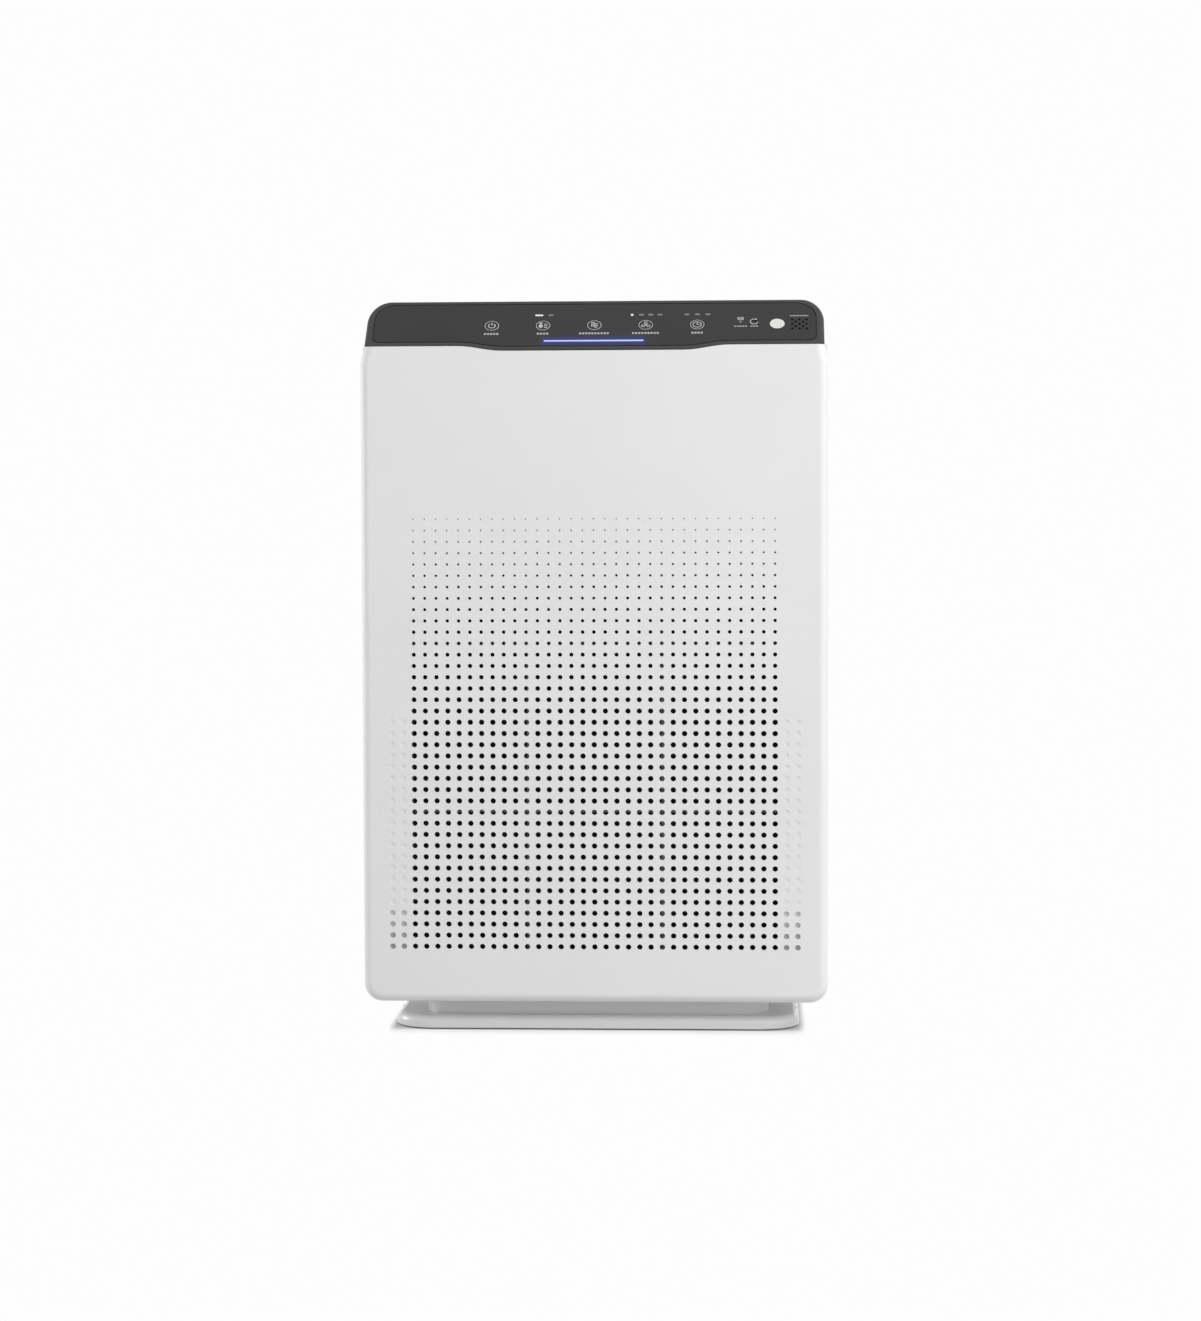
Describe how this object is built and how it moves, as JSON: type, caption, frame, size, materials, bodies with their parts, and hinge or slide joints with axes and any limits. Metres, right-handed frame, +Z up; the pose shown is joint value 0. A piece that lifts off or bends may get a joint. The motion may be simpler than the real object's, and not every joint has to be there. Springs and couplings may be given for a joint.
{
  "type": "air purifier",
  "caption": "Free-standing room air purifier: white box on a low base with a perforated swing-open front, slanted dark key panel, filter stack and centrifugal fan.",
  "frame": {"origin": "on the floor, under the middle of the body", "axes": "+X to the right, front facing -Y, +Z up"},
  "size_m": [0.38, 0.208, 0.6],
  "materials": {
    "white_shell": "fine satin white moulding",
    "dark_shell": "dark grey gloss",
    "overlay": "dark grey gloss film with fine printing",
    "key_cap": "dark grey gloss",
    "light_guide": "clear light guide, lit blue",
    "sensor_white": "milky white window",
    "indicator": "milky white window",
    "circuit_board": "green solder mask",
    "component": "black moulded parts",
    "grille": "dark grey satin",
    "filter_frame": "white moulding",
    "filter_mesh": "black fine mesh",
    "carbon": "black carbon mat",
    "pleat_paper": "white pleated filter paper",
    "seal_foam": "grey foam",
    "inner_plastic": "plain moulding",
    "fan_plastic": "black moulding",
    "motor_steel": "zinc-plated steel",
    "screw_steel": "zinc-plated steel",
    "rubber": "black rubber"
  },
  "bodies": {
    "cabinet": {"base_stand": "white_shell", "base_feet": "rubber", "base_screws": "screw_steel", "main_housing": "white_shell", "rear_cover": "white_shell", "rear_cover_screws": "screw_steel", "cord_gland": "rubber", "panel_catches": "component", "interlock_switch": "component", "top_cover": "dark_shell", "top_cover_screws": "screw_steel", "control_overlay": "overlay", "light_bar_lens": "light_guide", "light_sensor_lens": "sensor_white", "indicator_windows": "indicator", "control_board": "circuit_board", "tact_switches": "component", "indicator_leds": "indicator", "odour_sensor": "component", "outlet_grille": "grille", "ionizer_module": "component", "prefilter_frame": "filter_frame", "prefilter_mesh": "filter_mesh", "carbon_filter": "carbon", "hepa_frame": "filter_frame", "hepa_media": "pleat_paper", "filter_seal": "seal_foam", "inlet_ring": "inner_plastic", "fan_guard": "inner_plastic", "scroll_housing": "inner_plastic", "scroll_screws": "screw_steel", "motor_housing": "motor_steel", "motor_end_cap": "motor_steel", "motor_bearings": "motor_steel", "motor_core": "motor_steel", "motor_bracket": "motor_steel", "motor_grommets": "rubber", "motor_screws": "screw_steel", "power_board": "circuit_board", "power_board_cover": "inner_plastic", "power_components": "component"},
    "front_panel": {"front_panel": "white_shell", "catch_studs": "component"},
    "fan_rotor": {"impeller": "fan_plastic", "impeller_nut": "screw_steel", "motor_shaft": "motor_steel"},
    "key_power": {"key_power": "key_cap"},
    "key_mode": {"key_mode": "key_cap"},
    "key_ionizer": {"key_ionizer": "key_cap"},
    "key_fan_speed": {"key_fan_speed": "key_cap"},
    "key_timer": {"key_timer": "key_cap"},
    "key_reset": {"key_reset": "key_cap"}
  },
  "joints": [
    {"name": "panel_hinge", "type": "hinge", "parent": "cabinet", "child": "front_panel", "pos_m": [0, -0.077, 0.0325], "axis": [1, 0, 0], "range_deg": [0, 25]},
    {"name": "fan_spin", "type": "hinge", "parent": "cabinet", "child": "fan_rotor", "pos_m": [0, 0.03, 0.257], "axis": [0, 1, 0], "continuous": true},
    {"name": "press_power", "type": "slide", "parent": "cabinet", "child": "key_power", "axis": [0, 0.6947, -0.7193], "range_m": [0, 0.0005], "stiffness_N_per_m": 300, "springref_m": -0.003},
    {"name": "press_mode", "type": "slide", "parent": "cabinet", "child": "key_mode", "axis": [0, 0.6947, -0.7193], "range_m": [0, 0.0005], "stiffness_N_per_m": 300, "springref_m": -0.003},
    {"name": "press_ionizer", "type": "slide", "parent": "cabinet", "child": "key_ionizer", "axis": [0, 0.6947, -0.7193], "range_m": [0, 0.0005], "stiffness_N_per_m": 300, "springref_m": -0.003},
    {"name": "press_fan_speed", "type": "slide", "parent": "cabinet", "child": "key_fan_speed", "axis": [0, 0.6947, -0.7193], "range_m": [0, 0.0005], "stiffness_N_per_m": 300, "springref_m": -0.003},
    {"name": "press_timer", "type": "slide", "parent": "cabinet", "child": "key_timer", "axis": [0, 0.6947, -0.7193], "range_m": [0, 0.0005], "stiffness_N_per_m": 300, "springref_m": -0.003},
    {"name": "press_reset", "type": "slide", "parent": "cabinet", "child": "key_reset", "axis": [0, 0.6947, -0.7193], "range_m": [0, 0.0005], "stiffness_N_per_m": 300, "springref_m": -0.003}
  ]
}
